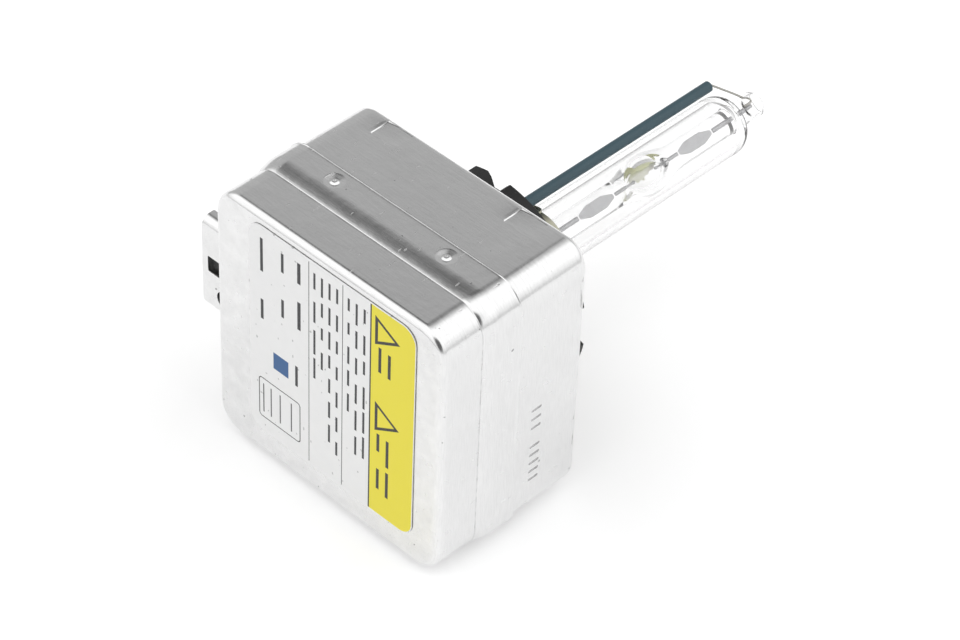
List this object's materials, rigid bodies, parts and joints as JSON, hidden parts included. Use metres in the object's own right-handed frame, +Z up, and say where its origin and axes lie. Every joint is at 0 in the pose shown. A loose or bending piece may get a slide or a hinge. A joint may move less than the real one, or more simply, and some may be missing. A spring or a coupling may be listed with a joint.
{
  "type": "xenon headlight bulb",
  "caption": "Gas-discharge headlight lamp: square aluminium igniter box with side connector, keyed black flange and a quartz burner beside a ceramic-sleeved return wire.",
  "frame": {"origin": "under the middle of the whole lamp, on the surface that the lap band of the box lies on", "axes": "+Y along the lamp axis from the label face to the burner's tip, +Z up, +X to the right, away from the connector"},
  "size_m": [0.049, 0.0824, 0.0422],
  "materials": {
    "shell_aluminium": "rolled sheet, satin",
    "label_film": "silver grey adhesive film with a yellow band",
    "black_plastic": "moulded, slightly glossy",
    "case_plastic": "moulded",
    "quartz_glass": "clear, polished",
    "blue_ceramic": "matt, slate blue",
    "stainless_steel": "rolled strip",
    "molybdenum": "drawn and rolled",
    "tungsten": "ground",
    "iodide_salt": "pale yellow crystalline film",
    "nickel_wire": "drawn wire",
    "tinned_copper": "tin plated",
    "enamelled_copper": "enamelled winding wire",
    "ferrite": "sintered, dark grey",
    "bobbin_plastic": "glass-filled moulding",
    "white_ceramic": "glazed",
    "capacitor_resin": "dipped resin",
    "resistor_paint": "lacquered"
  },
  "bodies": {
    "root": {"rear_cover": "shell_aluminium", "front_shell": "shell_aluminium", "rating_label": "label_film", "connector_shroud": "shell_aluminium", "connector_body": "black_plastic", "contact_pin_1": "tinned_copper", "contact_pin_2": "tinned_copper", "contact_pin_3": "tinned_copper", "contact_pin_4": "tinned_copper", "ground_tab": "stainless_steel", "lamp_base": "black_plastic", "mounting_ring": "stainless_steel", "burner_clamp": "stainless_steel", "outer_envelope": "quartz_glass", "arc_tube": "quartz_glass", "rear_electrode": "tungsten", "front_electrode": "tungsten", "rear_foil": "molybdenum", "front_foil": "molybdenum", "rear_lead": "molybdenum", "front_lead": "molybdenum", "salt_deposit": "iodide_salt", "ceramic_sleeve": "blue_ceramic", "return_wire": "nickel_wire", "igniter_case": "case_plastic", "case_lid": "case_plastic", "transformer_core": "ferrite", "transformer_bobbin": "bobbin_plastic", "secondary_coil_1": "enamelled_copper", "secondary_coil_2": "enamelled_copper", "secondary_coil_3": "enamelled_copper", "secondary_coil_4": "enamelled_copper", "primary_coil": "tinned_copper", "spark_gap": "white_ceramic", "storage_capacitor": "capacitor_resin", "bleed_resistor": "resistor_paint", "supply_strip": "tinned_copper", "gap_strip": "tinned_copper", "return_strip": "tinned_copper", "high_voltage_contact": "tinned_copper"}
  },
  "joints": []
}
